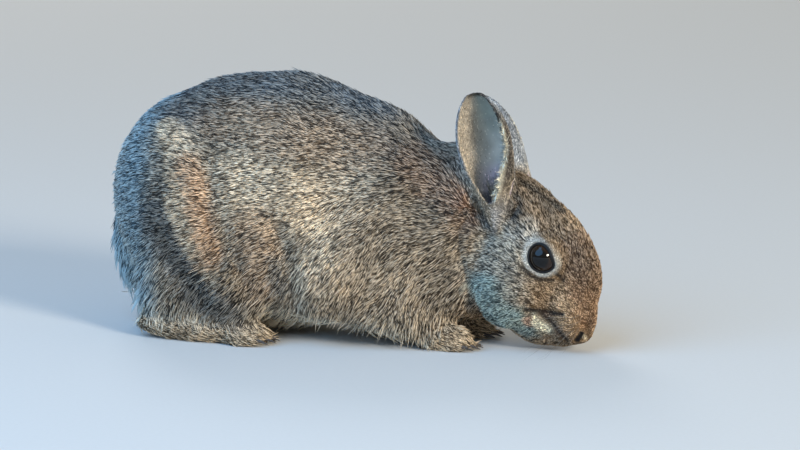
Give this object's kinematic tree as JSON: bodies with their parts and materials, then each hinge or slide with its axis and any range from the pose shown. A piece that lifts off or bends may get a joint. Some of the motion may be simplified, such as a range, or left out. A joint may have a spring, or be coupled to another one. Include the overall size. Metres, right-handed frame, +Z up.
{
  "type": "rabbit model",
  "caption": "Life-size still model of a wild rabbit crouched to graze, nose down and ears up, standing on its four feet.",
  "frame": {"origin": "on the floor under the middle of the bounding box", "axes": "+X forward from tail to nose, +Y towards the rabbit's left, +Z up"},
  "size_m": [0.2846, 0.1168, 0.1453],
  "materials": {
    "coat": "grey-brown ticked fur, matt",
    "ear_coat": "short thin fur over bare skin, matt",
    "tail_coat": "white fur below, dark fur above, matt",
    "foot_coat": "short buff fur, matt",
    "eye": "polished dark brown"
  },
  "bodies": {
    "root": {"trunk": "coat", "neck": "coat", "head": "coat", "tail": "tail_coat", "ear_right": "ear_coat", "ear_left": "ear_coat", "eye_right": "eye", "eye_left": "eye", "haunch_right": "coat", "haunch_left": "coat", "hind_foot_right": "foot_coat", "hind_foot_left": "foot_coat", "foreleg_right": "coat", "foreleg_left": "coat", "fore_foot_right": "foot_coat", "fore_foot_left": "foot_coat"}
  },
  "joints": []
}
